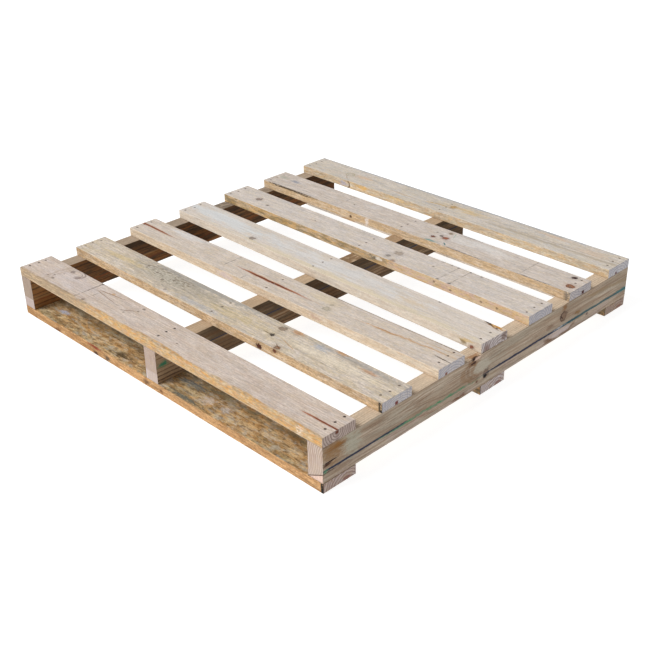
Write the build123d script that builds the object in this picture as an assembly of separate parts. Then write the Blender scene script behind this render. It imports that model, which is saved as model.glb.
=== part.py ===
from build123d import *

import os
from math import atan, cos, degrees, sin

# Two-way timber pallet: three bearers, seven deck boards, three bottom boards and their nails.
# Millimetres.  The origin is at the centre of the square footprint on the ground, +X runs along
# the boards, +Y runs along the bearers from the front fork entry to the rear one, +Z is up.

# ---- driving dimensions ---------------------------------------------------------------------
SIDE = 1165.0              # the footprint is square
HALF = SIDE / 2
BEARER_HEIGHT = 90.0
BEARER_WIDTH = 45.0
DECK_THICKNESS = 25.0
BOTTOM_THICKNESS = 25.0
DECK_UNDERSIDE = BOTTOM_THICKNESS + BEARER_HEIGHT
HEIGHT = DECK_UNDERSIDE + DECK_THICKNESS

BEARER_ARRIS = 1.5         # small bevel on the four long bearer edges
BOARD_ARRIS = 1.0          # the same on every board
WANE_ON_TOP = 8.0          # bark-side corner missing from the front lead board: width on its top
WANE_ON_EDGE = 5.0         # and depth down its edge

NAIL_LENGTH = 65.0
NAIL_SHANK_RADIUS = 1.4
NAIL_HEAD_RADIUS = 3.3
NAIL_HEAD_THICKNESS = 1.0
NAIL_HEAD_TAPER = 1.4      # conical underside that pulls into the wood
NAIL_POINT_LENGTH = 4.0
NAIL_SUNK = 1.0            # heads sit this far below the wood surface
CRATER_FLARE = 0.5         # the punched hole is this much wider at the surface
CUT_MARGIN = 1.0           # how far a cutting solid stands out of the wood

# Left face of each bearer, measured from the left end of the boards.
BEARERS = {
    "left_bearer": 0.0,
    "middle_bearer": 556.0,
    "right_bearer": SIDE - BEARER_WIDTH,
}

# Front edge of each deck board at its left end, at its right end, and its width.
# The boards are laid by hand, so four of them run a few millimetres out of square.
DECK_BOARDS = {
    "deck_board_1": (0.0, 0.0, 99.0),
    "deck_board_2": (178.0, 178.0, 98.5),
    "deck_board_3": (362.0, 366.0, 94.0),
    "deck_board_4": (543.5, 524.0, 96.5),
    "deck_board_5": (721.5, 710.0, 97.0),
    "deck_board_6": (888.0, 884.0, 97.0),
    "deck_board_7": (1065.0, 1065.0, 100.0),
}

# Three nails over each bearer, by eye: distance from the left end of the board, distance from
# the board's front edge.  One line per bearer, left to right.
DECK_NAILS = {
    "deck_board_1": [
        (11, 25), (13, 51), (13, 73),
        (580, 30), (578, 55), (580, 79),
        (1144, 30), (1141, 62), (1141, 90),
    ],
    "deck_board_2": [
        (13, 24), (11, 50), (15, 75),
        (576, 19), (577, 53), (577, 80),
        (1139, 25), (1144, 50), (1143, 81),
    ],
    "deck_board_3": [
        (14, 18), (12, 45), (12, 70),
        (579, 14), (577, 43), (576, 74),
        (1142, 29), (1139, 65), (1139, 86),
    ],
    "deck_board_4": [
        (14, 14), (18, 47), (14, 73),
        (575, 16), (577, 51), (579, 82),
        (1144, 21), (1142, 60), (1141, 86),
    ],
    "deck_board_5": [
        (13, 16), (16, 46), (14, 76),
        (574, 15), (576, 42), (575, 75),
        (1144, 17), (1143, 50), (1144, 80),
    ],
    "deck_board_6": [
        (16, 17), (14, 47), (17, 75),
        (574, 23), (575, 49), (577, 81),
        (1144, 31), (1143, 57), (1145, 83),
    ],
    "deck_board_7": [
        (17, 14), (19, 42), (17, 70),
        (572, 18), (575, 45), (574, 75),
        (1144, 25), (1142, 55), (1144, 85),
    ],
}

# The same for the bottom boards; only the middle one runs out of square.
BOTTOM_BOARDS = {
    "bottom_board_front": (0.0, 0.0, 99.0),
    "bottom_board_middle": (517.0, 526.0, 96.0),
    "bottom_board_rear": (1069.0, 1069.0, 96.0),
}
BOTTOM_NAIL_SPREAD = (0.22, 0.50, 0.78)    # across the board, as a share of its width
BOTTOM_NAIL_STAGGER = (-4.0, 3.0, -2.0)    # along the board, about the bearer's centre line


def nail_solid():
    """One nail standing point down with the top of its head at z = 0."""
    profile = Polyline(
        (0, 0, 0),
        (NAIL_HEAD_RADIUS, 0, 0),
        (NAIL_HEAD_RADIUS, 0, -NAIL_HEAD_THICKNESS),
        (NAIL_SHANK_RADIUS, 0, -NAIL_HEAD_THICKNESS - NAIL_HEAD_TAPER),
        (NAIL_SHANK_RADIUS, 0, NAIL_POINT_LENGTH - NAIL_LENGTH),
        (0, 0, -NAIL_LENGTH),
        (0, 0, 0),
    )
    return revolve(make_face(profile), Axis.Z)


def crater_solid():
    """The punched recess above a sunk nail head; its mouth is at z = 0."""
    mouth = NAIL_HEAD_RADIUS + CRATER_FLARE
    cone = Cone(NAIL_HEAD_RADIUS, mouth, NAIL_SUNK, align=(Align.CENTER, Align.CENTER, Align.MAX))
    rim = Cylinder(mouth, CUT_MARGIN, align=(Align.CENTER, Align.CENTER, Align.MIN))
    return cone + rim


def plank(length, width, thickness, arris):
    """A sawn length of timber along X, centred, with eased long edges."""
    blank = Box(length, width, thickness)
    return chamfer(blank.edges().filter_by(Axis.X), arris)


def wane_solid(width):
    """What is missing along the top front corner of a board of this width."""
    front = -width / 2
    top = DECK_THICKNESS / 2
    profile = Polyline(
        (-SIDE, front - CUT_MARGIN, top + CUT_MARGIN),
        (-SIDE, front + WANE_ON_TOP, top + CUT_MARGIN),
        (-SIDE, front + WANE_ON_TOP, top),
        (-SIDE, front, top - WANE_ON_EDGE),
        (-SIDE, front - CUT_MARGIN, top - WANE_ON_EDGE),
        (-SIDE, front - CUT_MARGIN, top + CUT_MARGIN),
    )
    return extrude(make_face(profile), amount=2 * SIDE, dir=(1, 0, 0))


def bearers():
    """Three lengths of framing timber on edge, by node name."""
    parts = {}
    for name, left in BEARERS.items():
        stick = plank(SIDE, BEARER_WIDTH, BEARER_HEIGHT, BEARER_ARRIS)
        centre_x = left + BEARER_WIDTH / 2 - HALF
        centre_z = BOTTOM_THICKNESS + BEARER_HEIGHT / 2
        parts[name] = Location((centre_x, 0, centre_z), (0, 0, 90)) * stick
    return parts


def laid_board(front_left, front_right, width, thickness, underside, has_wane=False):
    """One board in place; a skewed one is cut so that its corners stay in the footprint."""
    angle = atan((front_right - front_left) / SIDE)
    length = (SIDE - width * abs(sin(angle))) / cos(angle)
    board = plank(length, width, thickness, BOARD_ARRIS)
    if has_wane:
        board = board - wane_solid(width)
    middle_y = (front_left + front_right) / 2 + width / 2 - HALF
    middle_z = underside + thickness / 2
    return Location((0, middle_y, middle_z), (0, 0, degrees(angle))) * board


def driven_down(name, front_left, front_right):
    """Places of a deck board's nails and of the mouths of their craters."""
    places = []
    for x, across in DECK_NAILS[name]:
        front = front_left + (front_right - front_left) * x / SIDE
        y = front + across - HALF
        nail_place = Location((x - HALF, y, HEIGHT - NAIL_SUNK))
        mouth_place = Location((x - HALF, y, HEIGHT))
        places.append((nail_place, mouth_place))
    return places


def driven_up(front_left, front_right, width):
    """Places of a bottom board's nails, driven from below, and of their craters' mouths."""
    upside_down = (180, 0, 0)
    places = []
    for left in BEARERS.values():
        for share, stagger in zip(BOTTOM_NAIL_SPREAD, BOTTOM_NAIL_STAGGER):
            x = left + BEARER_WIDTH / 2 + stagger
            front = front_left + (front_right - front_left) * x / SIDE
            y = front + share * width - HALF
            nail_place = Location((x - HALF, y, NAIL_SUNK), upside_down)
            mouth_place = Location((x - HALF, y, 0), upside_down)
            places.append((nail_place, mouth_place))
    return places


def make_parts():
    """Every piece in its place, by node name."""
    parts = bearers()
    places = {}
    for name, (front_left, front_right, width) in DECK_BOARDS.items():
        has_wane = name == "deck_board_1"
        parts[name] = laid_board(
            front_left, front_right, width, DECK_THICKNESS, DECK_UNDERSIDE, has_wane
        )
        places[name] = driven_down(name, front_left, front_right)
    for name, (front_left, front_right, width) in BOTTOM_BOARDS.items():
        parts[name] = laid_board(front_left, front_right, width, BOTTOM_THICKNESS, 0)
        places[name] = driven_up(front_left, front_right, width)

    # Each nail makes its own hole in its board and in the bearer behind it.
    nail = nail_solid()
    crater = crater_solid()
    for board, board_places in places.items():
        nails = [nail_place * nail for nail_place, _ in board_places]
        craters = [mouth_place * crater for _, mouth_place in board_places]
        for index, bearer in enumerate(BEARERS):
            parts[bearer] = parts[bearer] - nails[3 * index:3 * index + 3]
        parts[board] = parts[board] - nails - craters
        parts[board + "_nails"] = Compound(children=nails)
    return parts


os.makedirs("parts", exist_ok=True)
for name, shape in make_parts().items():
    export_step(shape, os.path.join("parts", name + ".step"))
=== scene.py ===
import math

import bpy
import numpy as np
from mathutils import Matrix, Vector


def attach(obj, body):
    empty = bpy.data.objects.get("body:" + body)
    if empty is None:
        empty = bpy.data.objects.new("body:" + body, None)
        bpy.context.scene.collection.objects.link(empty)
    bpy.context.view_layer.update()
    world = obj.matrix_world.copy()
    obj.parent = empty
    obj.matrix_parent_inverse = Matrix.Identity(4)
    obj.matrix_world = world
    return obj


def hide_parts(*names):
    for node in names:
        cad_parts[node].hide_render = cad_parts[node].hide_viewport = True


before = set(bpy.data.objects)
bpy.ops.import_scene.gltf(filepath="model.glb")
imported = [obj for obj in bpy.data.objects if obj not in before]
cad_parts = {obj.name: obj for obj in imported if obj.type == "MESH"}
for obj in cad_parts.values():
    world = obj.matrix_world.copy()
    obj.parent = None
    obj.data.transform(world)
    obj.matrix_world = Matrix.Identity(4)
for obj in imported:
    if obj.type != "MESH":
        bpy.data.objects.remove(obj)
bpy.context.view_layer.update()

# ---- Bearers --------------------------------------------------------------------------------
# Three lengths of 90 x 45 graded framing pine standing on edge.  They are sawn square, dried and
# lightly weathered, with a sprayed grading line along one face and raw sawn ends.

MM = 1000.0    # millimetres in one metre of the frame


class Stick:
    """A length of sawn timber where the frame has it.

    u runs along it from its start, v across it from its near side and w up it, in millimetres.
    Boards start at the left end with v towards the rear, bearers start at the front with v
    towards the left."""

    def __init__(self, node, along):
        self.node = node
        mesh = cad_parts[node].data
        points = np.empty(3 * len(mesh.vertices))
        mesh.vertices.foreach_get("co", points)
        points = points.reshape(-1, 3) * MM
        u_way = np.array(along, float)
        v_way = np.array((-u_way[1], u_way[0], 0.0))
        start = points[np.argmin(points @ (u_way + v_way))]
        finish = points[np.argmax(points @ (u_way - v_way))]
        run = (finish - start) * (1, 1, 0)
        self.length = float(np.linalg.norm(run))
        self.u_way = run / self.length
        self.v_way = np.array((-self.u_way[1], self.u_way[0], 0.0))
        self.width = float((points @ self.v_way).max() - start @ self.v_way)
        self.height = float(np.ptp(points[:, 2]))
        self.origin = np.array((start[0], start[1], points[:, 2].min()))
        self.turn = math.atan2(self.u_way[1], self.u_way[0])

    def laid(self, points):
        """Points of the stick in the pallet's frame, in metres."""
        up = np.array((0.0, 0.0, 1.0))
        placed = points[:, :1] * self.u_way + points[:, 1:2] * self.v_way + points[:, 2:] * up
        return (self.origin + placed) / MM


RASTER = 0.25    # all mesh lines lie on this raster, so that cracks find their own line
CRATER = 9.0     # how far round a sunk nail head the wood is drawn in


def mesh_lines(size, pitch, spots=(), reach=5.0, fine=1.0):
    """Where a stick's skin is divided along one side: evenly, with finer lines at the spots."""
    lines = list(np.linspace(0, size, max(2, round(size / pitch)) + 1))
    lines += [0.5, 1.25, 2.25, 4.0, 7.0, size - 0.5, size - 1.25, size - 2.25, size - 4.0, size - 7.0]
    for spot in spots:
        lines += list(np.arange(spot - reach, spot + reach + fine / 2, fine))
    lines = np.unique(np.round(np.array(lines) / RASTER)) * RASTER
    lines = lines[(lines >= 0) & (lines < size - 2 * RASTER)]
    return np.append(lines, size)


def skin_of_block(us, vs, ws):
    """Points and four-sided faces of the skin of a block divided at these lines."""
    on_skin = np.zeros((len(us), len(vs), len(ws)), bool)
    on_skin[[0, -1]] = True
    on_skin[:, [0, -1]] = True
    on_skin[:, :, [0, -1]] = True
    number = np.full(on_skin.shape, -1)
    number[on_skin] = np.arange(on_skin.sum())
    i, j, k = np.nonzero(on_skin)
    points = np.stack((us[i], vs[j], ws[k]), axis=1)
    sides = [
        (number[:, :, -1], False), (number[:, :, 0], True),
        (number[:, 0, :], False), (number[:, -1, :], True),
        (number[-1], False), (number[0], True),
    ]
    faces = []
    for side, flip in sides:
        quads = np.stack((side[:-1, :-1], side[1:, :-1], side[1:, 1:], side[:-1, 1:]), axis=-1)
        quads = quads.reshape(-1, 4)
        faces.append(quads[:, ::-1] if flip else quads)
    return points, np.concatenate(faces)


def drift(seed, *pairs):
    """Smooth random values from -1 to 1; each pair is a coordinate and the pitch it varies at."""
    table = np.random.RandomState(seed).uniform(-1, 1, (64, 64))
    first, first_pitch = pairs[0]
    second, second_pitch = pairs[1] if len(pairs) > 1 else (np.zeros_like(first), 1.0)
    a = first / first_pitch + 7.3
    b = second / second_pitch + 3.1
    ia = np.floor(a).astype(int)
    ib = np.floor(b).astype(int)
    fa = (a - ia) ** 2 * (3 - 2 * (a - ia))
    fb = (b - ib) ** 2 * (3 - 2 * (b - ib))
    low = table[ia % 64, ib % 64] * (1 - fa) + table[(ia + 1) % 64, ib % 64] * fa
    high = table[ia % 64, (ib + 1) % 64] * (1 - fa) + table[(ia + 1) % 64, (ib + 1) % 64] * fa
    return low * (1 - fb) + high * fb


class Timber:
    """The skin of one stick as it is worked: eased, weathered, split, nailed and then laid."""

    def __init__(self, stick, seed, pitch=(6.0, 4.0, 5.0), u_spots=(), v_spots=(), w_spots=()):
        self.stick = stick
        self.seed = seed
        us = mesh_lines(stick.length, pitch[0], u_spots)
        vs = mesh_lines(stick.width, pitch[1], v_spots)
        ws = mesh_lines(stick.height, pitch[2], w_spots)
        self.home, self.faces = skin_of_block(us, vs, ws)
        self.size = np.array((stick.length, stick.width, stick.height))
        self.now = self.home.copy()
        self.crack_shade_and_grime = np.zeros(len(self.home))
        self.u, self.v, self.w = self.home.T
        self.top = self.w == stick.height
        self.bottom = self.w == 0
        self.near = self.v == 0
        self.far = self.v == stick.width
        self.start = self.u == 0
        self.finish = self.u == stick.length

    def ease(self, far_side, top_side, across, down):
        """Rounds one long edge; across and down are its reach over the flat and down the side."""
        from_side = self.stick.width - self.v if far_side else self.v
        from_flat = self.stick.height - self.w if top_side else self.w
        flat = (from_flat == 0) & (from_side < across)
        side = (from_side == 0) & (from_flat < down)
        turn = np.where(flat, 1 - from_side / across, 1 - from_flat / down) * math.pi / 4
        arc_in = np.where(flat, 1 - np.sin(turn), 1 - np.cos(turn)) * across
        arc_down = np.where(flat, 1 - np.cos(turn), 1 - np.sin(turn)) * down
        eased = flat | side
        new_v = self.stick.width - arc_in if far_side else arc_in
        new_w = self.stick.height - arc_down if top_side else arc_down
        self.now[eased, 1] = new_v[eased]
        self.now[eased, 2] = new_w[eased]

    def ease_all(self, radius, wane=None):
        """Rounds the four long edges unevenly, and one of them more where wane says."""
        for index, (far_side, top_side) in enumerate(((0, 1), (1, 1), (0, 0), (1, 0))):
            seed = self.seed * 10 + index
            reach = radius * (1 + 0.35 * drift(seed, (self.u, 60)) + 0.25 * drift(seed + 5, (self.u, 13)))
            across = np.maximum(reach, 0.4)
            down = across * (1 + 0.2 * drift(seed + 3, (self.u, 90)))
            if wane and wane[0] == (far_side, top_side):
                across = wane[1](self.u, across)
                down = wane[2](self.u, down)
            self.ease(far_side, top_side, across, down)

    def weather(self, depth=0.3):
        """Sinks every face a little, in long shallow waves and finer ridges along the grain."""
        flats = ((self.top, 2, -1, self.v), (self.bottom, 2, 1, self.v),
                 (self.near, 1, 1, self.w), (self.far, 1, -1, self.w))
        for index, (face, axis, inward, side) in enumerate(flats):
            seed = self.seed * 20 + index
            sink = 1 + drift(seed, (self.u, 140), (side, 35))
            sink += 0.5 * (1 + drift(seed + 7, (self.u, 30), (side, 5)))
            self.now[face, axis] += inward * depth * sink[face] / 3
        for face, inward in ((self.start, 1), (self.finish, -1)):
            rim = self.near | self.far | self.top | self.bottom
            sink = 0.15 * (1 + drift(self.seed + 40, (self.v, 7), (self.w, 7)))
            sink += np.where(rim, 0.45, 0)
            self.now[face, 0] += inward * sink[face]

    def split(self, face, axis, line, span, depth, wander=1.0, open_ends=(False, False)):
        """A drying crack along the grain of one face, on the mesh line given."""
        side = self.home[:, 3 - axis]
        t = (self.u - span[0]) / (span[1] - span[0])
        inside = (t >= 0) & (t <= 1)
        rise = np.ones_like(t) if open_ends[0] else np.clip(t * 4, 0, 1)
        fall = np.ones_like(t) if open_ends[1] else np.clip((1 - t) * 4, 0, 1)
        taper = np.where(inside, rise * fall, 0)
        line = round(line / RASTER) * RASTER
        sway = wander * drift(self.seed + 60, (self.u, 28)) * np.exp(-((side - line) / 5) ** 2)
        self.now[face, 3 - axis] += (sway * taper)[face]
        groove = face & (np.abs(side - line) < RASTER / 2)
        inward = 1 if self.home[face][0, axis] == 0 else -1
        self.now[groove, axis] += (inward * depth * taper)[groove]
        # The crack's floor is coloured dark as painted shade.
        self.crack_shade_and_grime[groove] = np.maximum(self.crack_shade_and_grime[groove], taper[groove] ** 0.5)

    def knock(self, corner, size):
        """Breaks a corner off; corner has 0 or 1 for each way, size the reach along each."""
        inward = 1 - 2 * np.array(corner)
        gap = np.abs(self.home - self.size * corner)
        short = 1 - (gap / np.array(size)).sum(axis=1)
        short += 0.12 * drift(self.seed + 80, (self.u + self.w, 4), (self.v, 4))
        hit = short > 0
        self.now[hit] += inward * np.array(size) * short[hit, None] / 3

    def sink_nails(self, spots, face, inward, grime=1.0, rim=3.2, depth=1.25):
        """Presses a round crater into the face for each sunk nail head."""
        for nail_u, nail_v in spots:
            du = self.u - nail_u
            dv = self.v - nail_v
            r = np.hypot(du, dv)
            hit = face & (r < CRATER)
            reach = np.maximum(r, 1e-6)
            drawn = np.interp(r, (0, 2.2, 3.2, 3.3, 4.6, CRATER), (0, 2.2, 3.0, rim, 4.7, CRATER))
            self.now[hit, 0] += (du * (drawn / reach - 1))[hit]
            self.now[hit, 1] += (dv * (drawn / reach - 1))[hit]
            dip = np.interp(r, (0, 3.0, 3.25, 5.5, CRATER), (depth, depth, 0.35, 0.12, 0))
            self.now[hit, 2] += inward * dip[hit]
            dirt = grime * np.interp(r, (0, 3.0, 3.3), (1, 1, 0))
            self.crack_shade_and_grime[hit] = np.maximum(self.crack_shade_and_grime[hit], dirt[hit])

    def set_knots(self, spots, face, axis, inward):
        """Dishes the wood round each knot and leaves the knot itself slightly proud of the dish."""
        for knot_u, knot_side, radius in spots:
            side = self.home[:, 3 - axis]
            r = np.hypot((self.u - knot_u) / 1.15, side - knot_side) / radius
            dish = 0.30 * np.exp(-((r - 1.0) / 0.22) ** 2) + 0.18 * np.exp(-(r / 1.8) ** 2)
            self.now[face, axis] += (inward * dish)[face]

    def piece(self, name, material, slot):
        """The finished stick as an object that stands for its CAD node."""
        mesh = bpy.data.meshes.new(name)
        mesh.from_pydata(self.stick.laid(self.now).tolist(), [], self.faces.tolist())
        crack_shade_and_grime = mesh.attributes.new("crack_shade_and_grime", "FLOAT", "POINT")
        crack_shade_and_grime.data.foreach_set("value", self.crack_shade_and_grime)
        mesh.shade_smooth()
        mesh.materials.append(material)
        mesh.update()
        made = bpy.data.objects.new(name, mesh)
        bpy.context.scene.collection.objects.link(made)
        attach(made, "root")
        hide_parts(self.stick.node)


class Wire:
    """A value or colour on its way through a material; arithmetic on it adds Math nodes."""

    def __init__(self, tree, socket=None):
        self.tree = tree
        self.socket = socket

    def node(self, kind, settings=None, sockets=None, out=0):
        made = self.tree.nodes.new(kind)
        for key, value in (settings or {}).items():
            setattr(made, key, value)
        for key, value in (sockets or {}).items():
            if isinstance(value, Wire):
                self.tree.links.new(value.socket, made.inputs[key])
            else:
                made.inputs[key].default_value = value
        return Wire(self.tree, made.outputs[out])

    def maths(self, operation, *values):
        return self.node("ShaderNodeMath", {"operation": operation}, dict(enumerate(values)))

    def __add__(self, other):
        return self.maths("ADD", self, other)

    def __sub__(self, other):
        return self.maths("SUBTRACT", self, other)

    def __rsub__(self, other):
        return self.maths("SUBTRACT", other, self)

    def __mul__(self, other):
        return self.maths("MULTIPLY", self, other)

    def __truediv__(self, other):
        return self.maths("DIVIDE", self, other)

    __radd__ = __add__
    __rmul__ = __mul__

    def smooth(self, low, high):
        """0 at low and 1 at high, easing in and out."""
        settings = {"interpolation_type": "SMOOTHSTEP"}
        return self.node("ShaderNodeMapRange", settings, {"Value": self, "From Min": low, "From Max": high})

    def within(self, centre, reach):
        """1 in the middle of a band, fading to 0 at its reach."""
        return self.maths("ABSOLUTE", self - centre).smooth(reach, reach * 0.35)

    def mixed(self, other, factor):
        """This colour turned into the other by the factor."""
        return self.node("ShaderNodeMix", {"data_type": "RGBA"}, {0: factor, 6: self, 7: other}, 2)

    def scaled(self, factor):
        """This colour or vector times a value."""
        return self.node("ShaderNodeVectorMath", {"operation": "SCALE"}, {0: self, 3: factor})

    def cloud(self, pitch, seed=0.0, detail=2.0, roughness=0.5):
        """Noise about 0.5 in the space of this vector, stretched to the pitch along each axis."""
        grain = tuple(1 / p for p in pitch)
        shift = (seed * 3.7 + 11, seed * 1.9 + 5, seed * 2.3 + 17)
        stretched = {0: self, 1: grain, 2: shift}
        where = self.node("ShaderNodeVectorMath", {"operation": "MULTIPLY_ADD"}, stretched)
        sockets = {"Vector": where, "Scale": 1.0, "Detail": detail, "Roughness": roughness}
        return self.node("ShaderNodeTexNoise", None, sockets, "Fac")


def colour(red, green, blue):
    """A colour given as it looks on a screen, from 0 to 255, as the shader wants it."""
    return tuple((c / 255) ** 2.2 for c in (red, green, blue)) + (1.0,)


class Pine:
    """The wood of one stick: rings round a pith, fibres, knots, stain, painted shade and light, sawn ends
    and edges.
    """

    def __init__(self, name, stick, seed):
        self.material = bpy.data.materials.new(name)
        self.material.use_nodes = True
        tree = self.material.node_tree
        tree.nodes.clear()
        self.wire = wire = Wire(tree)
        self.seed = seed
        corner = tuple(stick.origin / MM)
        place = wire.node("ShaderNodeTexCoord", out="Object")
        place = place.node("ShaderNodeVectorMath", {"operation": "SUBTRACT"}, {0: place, 1: corner})
        turned = {"rotation_type": "Z_AXIS"}
        place = place.node("ShaderNodeVectorRotate", turned, {"Vector": place, "Angle": -stick.turn})
        self.place = place.scaled(MM)
        self.u, self.v, self.w = self.parts(self.place)
        facing = wire.node("ShaderNodeTexCoord", out="Normal")
        facing = facing.node("ShaderNodeVectorRotate", turned, {"Vector": facing, "Angle": -stick.turn})
        facing_u, facing_v, facing_w = self.parts(facing)
        self.on_end = facing_u.maths("ABSOLUTE", facing_u).smooth(0.55, 0.85)
        self.on_top = facing_w.smooth(0.45, 0.9)
        self.on_edge = facing_v.maths("ABSOLUTE", facing_v).smooth(0.45, 0.9)
        self.on_near = facing_v.smooth(-0.45, -0.9)
        self.on_skin = 1 - self.on_end
        self.crack_shade_and_grime = wire.node("ShaderNodeAttribute", {"attribute_name": "crack_shade_and_grime"}, out="Fac")
        self.bent_v = self.v
        self.bent_w = self.w
        self.stains = []
        self.end_layers = []

    def parts(self, vector):
        """The three numbers of a vector."""
        split = self.wire.tree.nodes.new("ShaderNodeSeparateXYZ")
        self.wire.tree.links.new(vector.socket, split.inputs[0])
        return [Wire(self.wire.tree, out) for out in split.outputs]

    def flat(self, tint):
        """One plain colour."""
        made = self.wire.node("ShaderNodeRGB")
        made.socket.default_value = tint
        return made

    def oval(self, side, centre, reach):
        """Squared distance from a spot in the plane of u and a side, counted in its reaches."""
        du = (self.u - centre[0]) / reach[0]
        ds = (side - centre[1]) / reach[1]
        return du * du + ds * ds

    def coat(self, tint, strength, pitch, cover=0.5, face=None, edge=0.07, detail=4):
        """A mottled coat of dirt, mould or bleaching over a face, or of painted shade or painted light."""
        blot = self.place.cloud(pitch, seed=len(self.stains) + self.seed, detail=detail, roughness=0.62)
        middle = 0.5 + (0.5 - cover) * 0.3
        mask = blot.smooth(middle - edge, middle + edge) * strength
        self.stains.append((mask * (face or self.on_skin), tint))

    def swirl(self, u, side, reach, on_side=False):
        """Bends the grain round a spot without a knot in it."""
        if on_side:
            hold = self.wire.maths("EXPONENT", self.oval(self.w, (u, side), reach) * -1)
            self.bent_w = self.bent_w - (self.bent_w - side) * hold
        else:
            hold = self.wire.maths("EXPONENT", self.oval(self.v, (u, side), reach) * -1)
            self.bent_v = self.bent_v - (self.bent_v - side) * hold

    def knot(self, u, side, radius, tint, strength=0.9, on_side=False):
        """A branch through the board (or into its edge) that pushes the grain aside."""
        wobble = self.place.cloud((radius * 0.9,) * 3, seed=u, detail=3)
        axis = self.w if on_side else self.v
        far = self.wire.maths("SQRT", self.oval(axis, (u, side), (radius * 1.2, radius)))
        far = far + (wobble - 0.5) * 2.2
        rings = self.wire.maths("FRACT", far * (radius / 1.8)).smooth(0.3, 0.9)
        body = far.smooth(1.2, 0.7) * strength
        bark = far.within(1.05, 0.4) * (0.7 * strength)
        halo = far.smooth(2.9, 1.0) * (0.3 * strength)
        dark = tuple(c * 0.4 for c in tint[:3]) + (1.0,)
        here = self.on_near if on_side else self.on_top
        self.swirl(u, side, (radius * 3.6, radius * 1.9), on_side)
        self.stains.append((halo * here, tint))
        self.stains.append((body * here, tint))
        self.stains.append(((body * rings * 0.5 + bark) * here, dark))

    def streak(self, start, finish, half, tint, strength=0.9, on_side=False, open_end=False, ragged=0.8):
        """A line of resin, bark, ink or dirt along the grain, or of painted shade along a crack, tapering at
        its ends.
        """
        axis = self.w if on_side else self.v
        t = (self.u - start[0]) / (finish[0] - start[0])
        line = t * (finish[1] - start[1]) + start[1]
        wave = self.place.cloud((38, 60, 60), seed=start[0] + half, detail=2) - 0.5
        taper = t.smooth(-0.02, 0.25)
        if not open_end:
            taper = taper * t.smooth(1.02, 0.55)
        off = self.wire.maths("ABSOLUTE", axis - line + wave * (2.2 * ragged * half))
        fray = self.place.cloud((9, 1.6, 1.6), seed=start[1], detail=2) - 0.5
        off = off / half + fray * (2.4 * ragged) + (1 - taper) * 0.9
        mask = off.smooth(1.15, 0.35) * t.smooth(-0.02, 0.03) * t.smooth(1.02, 0.97)
        face = self.on_near if on_side else self.on_top
        self.stains.append((mask * face * strength, tint))

    def patch(self, u, side, reach, tint, strength=0.7, on_side=False, pitch=(14, 5, 5), fill=0.5):
        """A ragged cloud of stain over part of a face."""
        axis = self.w if on_side else self.v
        fade = self.wire.maths("EXPONENT", self.oval(axis, (u, side), reach) * -1)
        blot = self.place.cloud(pitch, seed=u + side, detail=4, roughness=0.65) - 0.5
        face = self.on_near if on_side else self.on_top
        mask = (fade + blot * 2.4).smooth(0.75 - fill, 1.45 - fill)
        self.stains.append((mask * fade.smooth(0.02, 0.2) * face * strength, tint))

    def arc(self, u, side, reach, tint, strength=0.7, width=0.3, part=None, on_side=False):
        """A curved line of grain round a spot; part keeps only one side of it."""
        axis = self.w if on_side else self.v
        wobble = self.place.cloud((26, 14, 14), seed=u, detail=2) - 0.5
        ring = (self.oval(axis, (u, side), reach) + wobble * 1.1).within(1.0, width)
        if part:
            ring = ring * part
        face = self.on_near if on_side else self.on_top
        self.stains.append((ring * face * strength, tint))

    def speck(self, u, side, radius, tint=colour(70, 60, 50), strength=0.7, on_side=False):
        """A small dark mark."""
        axis = self.w if on_side else self.v
        rough = self.place.cloud((3, 3, 3), seed=u, detail=2) - 0.5
        mask = (self.oval(axis, (u, side), (radius * 1.3, radius)) + rough * 2.4).smooth(1.3, 0.3)
        face = self.on_near if on_side else self.on_top
        self.stains.append((mask * face * strength, tint))

    def crosscut(self, u, strength=0.25, side=(0, 100), half=2.2):
        """A faint grey line straight across the board, left by the saw or a strap."""
        mask = self.u.within(u, half) * self.v.smooth(side[0] - 4, side[0] + 4)
        mask = mask * self.v.smooth(side[1] + 4, side[1] - 4)
        blot = self.place.cloud((5, 14, 14), seed=u, detail=3)
        self.stains.append((mask * blot.smooth(0.38, 0.58) * self.on_top * strength, colour(112, 100, 90)))

    def rings(self, pith, ring, warp):
        """Distance from the pith turned into years: 0 in the wood, 1 on the dark line of a year."""
        slow = self.place.cloud((330, 60, 60), seed=self.seed, detail=2) - 0.5
        quick = self.place.cloud((70, 10, 10), seed=self.seed + 1, detail=3) - 0.5
        from_pith_v = self.bent_v - pith[0] + slow * warp
        from_pith_w = self.bent_w - pith[1] + quick * (warp * 0.16)
        far = self.wire.maths("SQRT", from_pith_v * from_pith_v + from_pith_w * from_pith_w)
        year = self.wire.maths("FRACT", far / ring)
        return year.smooth(0.35, 0.9) * year.smooth(1.0, 0.94)

    def finish(self, pale, late, edge, end, end_late, pith=(45, 60), ring=8.0, warp=30.0,
               line=0.4, grain=0.5, speckle=0.35, end_line=0.8, rough=0.5, crack_shade_and_grime=colour(52, 38, 26)):
        """Mixes the wood itself, lays the stain, painted shade and painted light layers over it and joins it
        to the output.
        """
        place = self.place
        seed = self.seed
        latewood = self.rings(pith, ring, warp)
        fibre = place.cloud((60, 1.1, 1.1), seed=seed + 2, detail=3, roughness=0.6)
        brush = place.cloud((110, 4, 4), seed=seed + 3, detail=4, roughness=0.65)
        fleck = place.cloud((8, 0.8, 0.8), seed=seed + 5, detail=2)
        saw = place.cloud((1.6, 60, 60), seed=seed + 6, detail=2)
        speck = place.cloud((7, 3.2, 3.2), seed=seed + 7, detail=4, roughness=0.7)
        uneven = place.cloud((190, 24, 24), seed=seed + 8, detail=3, roughness=0.6)

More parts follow.
